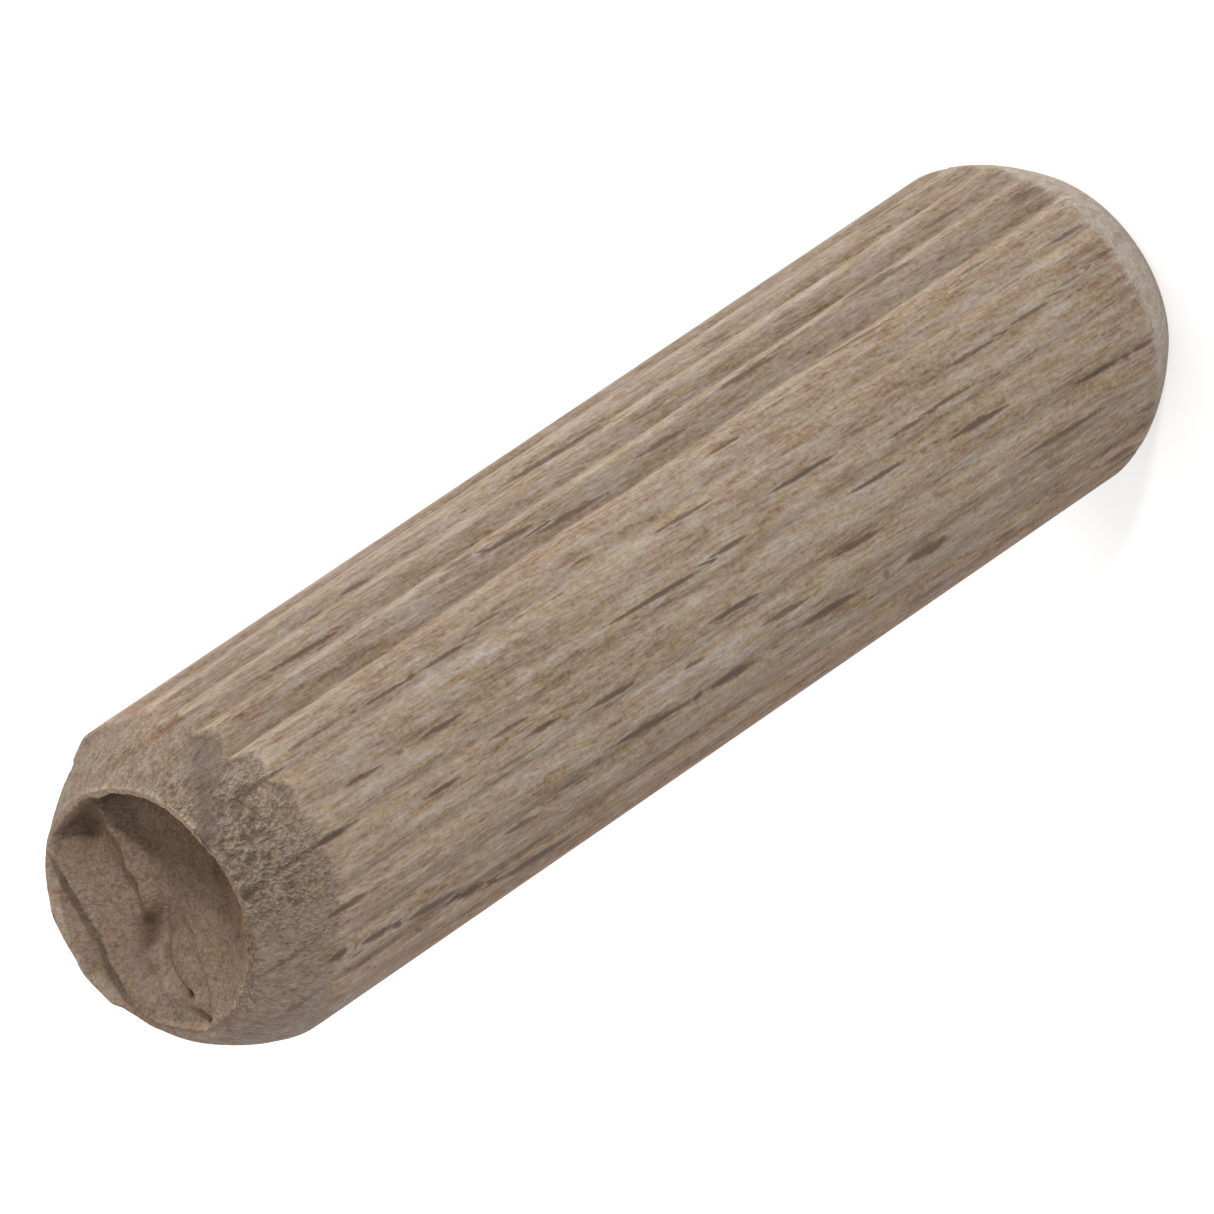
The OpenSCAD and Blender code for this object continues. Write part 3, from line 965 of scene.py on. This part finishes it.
def beechMaterial(look):
    material, tree = newMaterial("beech")
    place = scaledBy(tree, addNode(tree, "TexCoord").outputs["Object"], 1 / metresPerMm)
    x, y, z = splitOf(tree, place)
    grain = joinedOf(tree, sumOf(tree, (x, 1.0), (z, -grainSlope)), y, z)
    torn, endGrain = markOf(tree, "torn"), markOf(tree, "endGrain")
    plainTorn, pit = markOf(tree, "plainTorn"), markOf(tree, "pit")
    streaks = noiseOf(tree, grain, look["streaks"][0], detail=3.0, roughness=0.6)
    fibres = noiseOf(tree, grain, look["fibres"][0], shift=7.0)
    patches = noiseOf(tree, grain, look["patches"][0], detail=1.0, shift=15.0)
    dashes = stepOf(tree, noiseOf(tree, grain, look["dashes"][0], detail=1.0, shift=23.0), 0.14, 0.24)
    speckle = noiseOf(tree, place, look["speckle"][0], detail=3.0, roughness=0.7, shift=3.0)

    # A fleck is a spindle: dark where its width share plus its length share squared is under 1
    across, along, dark = splitOf(tree, markOf(tree, "fleck", "Vector"))
    across = mathOf(tree, "ABSOLUTE", sumOf(tree, (across, 1.0), (streaks, 0.8)))
    along = productOf(tree, along, along)
    spindle = sumOf(tree, (across, 1.0), (along, 1.0), (fibres, 0.7), (speckle, 0.7))
    bare = mostOf(tree, productOf(tree, torn, 0.25), productOf(tree, plainTorn, 0.7), endGrain)
    onShaft = mathOf(tree, "SUBTRACT", 1.0, bare)
    fleckShare = productOf(tree, dark, onShaft, stepOf(tree, spindle, *look["fleckEdge"]))

    shown = {"streaks": streaks, "fibres": fibres, "patches": patches, "dashes": dashes, "speckle": speckle}
    tone = sumOf(tree, *((noise, look[name][1]) for name, noise in shown.items()))
    colour = toneRamp(tree, mathOf(tree, "ADD", tone, look["tone"]), beechTones)
    colour = tintOf(tree, colour, markOf(tree, "dirt"), look["dirtAndShadeColour"])

    # Torn grain is tufted, and its colour follows the tufts' height: painted darker between them, as shade
    # in the gaps. The hollow is browner than the taper.
    tufts = tuftsOf(tree, grain, look)
    tuftShare = stepOf(tree, tufts, -0.25, 0.25)
    tornTone = mixOf(tree, tuftShare, look["tornDark"], look["tornPale"])
    browner = mixOf(tree, tuftShare, look["hollowDark"], look["hollowPale"])
    tornTone = mixOf(tree, endGrain, tornTone, browner)
    colour = tintOf(tree, colour, mostOf(tree, markOf(tree, "cut"), endGrain), look["cutColour"])
    fuzz = mostOf(tree, torn, productOf(tree, endGrain, look["hollowShare"]))
    colour = mixOf(tree, productOf(tree, fuzz, look["tornShare"]), colour, tornTone)
    # Painted shade in pits and cracks, in the cleft and in the pocket by the +X rim
    colour = mixOf(tree, productOf(tree, pit, look["pitShadeShare"]), colour, look["pitShadeColour"])
    # Tints: painted shade, painted shade in the valley, paler places that include painted highlights, and
    # stains with some painted shade
    for mark in ("shade", "valley", "paler", "stain"):
        colour = tintOf(tree, colour, markOf(tree, mark), look[mark + "Colour"])
    # The plain taper is paler for its torn fibres, and for painted light
    wornAndLitTone = stepOf(tree, sumOf(tree, (streaks, 1.2), (fibres, 0.7), (speckle, 0.4)), -0.35, 0.35)
    wornAndLit = mixOf(tree, wornAndLitTone, look["wornAndLitDark"], look["wornAndLitPale"])
    colour = mixOf(tree, productOf(tree, plainTorn, look["wornAndLitShare"]), colour, wornAndLit)
    colour = tintOf(tree, colour, markOf(tree, "lip"), look["lipColour"])
    tints = noiseOf(tree, grain, look["tints"], shift=41.0)
    colour = tintOf(tree, colour, stepOf(tree, tints, 0.0, look["tintReach"]), look["yellowTint"])
    colour = tintOf(tree, colour, stepOf(tree, tints, 0.0, -look["tintReach"]), look["greyTint"])
    colour = mixOf(tree, fleckShare, colour, look["fleckColour"])

    height = sumOf(tree, (streaks, 0.7), (fibres, 0.7), (dashes, -0.2), (speckle, 0.5), (fleckShare, -0.4))
    normal = bumpOf(tree, height, look["grainRelief"])
    relief = mostOf(tree, fuzz, productOf(tree, plainTorn, 0.3))
    relief = productOf(tree, relief, sumOf(tree, (endGrain, -0.68), (1.0, 1.0)), tufts)
    normal = bumpOf(tree, sumOf(tree, (relief, 1.1), (pit, -0.3)), look["tornRelief"], normal)
    shader = addNode(tree, "BsdfPrincipled", {
        "Base Color": colour,
        "Roughness": look["roughness"],
        "Specular IOR Level": look["specular"],
        "Normal": normal,
    })
    addNode(tree, "OutputMaterial", {"Surface": shader.outputs[0]})
    return material


dowelMesh.materials.append(beechMaterial(beechLook))
print("beech made")

stageSet = {
    "floorSize": 2000.0,
    "floorColour": (0.8, 0.8, 0.8, 1),
    "floorGlow": 0.5,
    "skyStrength": 0.62,
}


def backgroundRays(tree):
    # 1 for the rays that show the background itself: camera, glossy and transmission rays
    path = addNode(tree, "LightPath").outputs
    return mostOf(tree, path["Is Camera Ray"], path["Is Glossy Ray"], path["Is Transmission Ray"])


def makeFloor(settings):
    # A pale matt sheet that glows for the background rays, so that it is white but keeps the shadow
    half = settings["floorSize"] / 2 * metresPerMm
    mesh = bpy.data.meshes.new("floor")
    corners = [(-half, -half, 0), (half, -half, 0), (half, half, 0), (-half, half, 0)]
    mesh.from_pydata(corners, [], [(0, 1, 2, 3)])
    material, tree = newMaterial("paleFloor")
    matt = addNode(tree, "BsdfDiffuse", {"Color": settings["floorColour"]})
    glow = productOf(tree, backgroundRays(tree), settings["floorGlow"])
    lit = addNode(tree, "Emission", {"Strength": glow})
    both = addNode(tree, "AddShader", {0: matt.outputs[0], 1: lit.outputs[0]})
    addNode(tree, "OutputMaterial", {"Surface": both.outputs[0]})
    mesh.materials.append(material)
    floor = newObject("floor", mesh)


def makeSky(settings):
    # Even soft light from all round, shown as white to the background rays
    world = bpy.data.worlds.new("sky")
    world.use_nodes = True
    tree = world.node_tree
    tree.nodes.clear()
    inputs = {"Value": backgroundRays(tree), "To Min": settings["skyStrength"], "To Max": 1.0}
    strength = addNode(tree, "MapRange", inputs).outputs[0]
    back = addNode(tree, "Background", {"Color": (1, 1, 1, 1), "Strength": strength})
    addNode(tree, "OutputWorld", {"Surface": back.outputs[0]})
    bpy.context.scene.world = world


def makeLamp(name, azimuth, elevation, distance, size, light):
    # A square soft box. With side s it lights a face at distance d with its radiance times s squared over
    # pi d squared. The radiance is its power over pi s squared, so the power is the light times pi squared
    # times d squared.
    data = bpy.data.lights.new(name, "AREA")
    data.size = size * metresPerMm
    data.energy = light * math.pi ** 2 * (distance * metresPerMm) ** 2
    placeAround(newObject(name, data), (0, 0, dowelLength / 2), azimuth, elevation, distance)


makeFloor(stageSet)
makeSky(stageSet)
makeLamp("sideLamp", azimuth=5, elevation=12, distance=600, size=250, light=0.58)
makeLamp("frontLamp", azimuth=-68, elevation=21, distance=800, size=60, light=0.42)
print("stage set")

bpy.context.scene.view_settings.view_transform = "Standard"
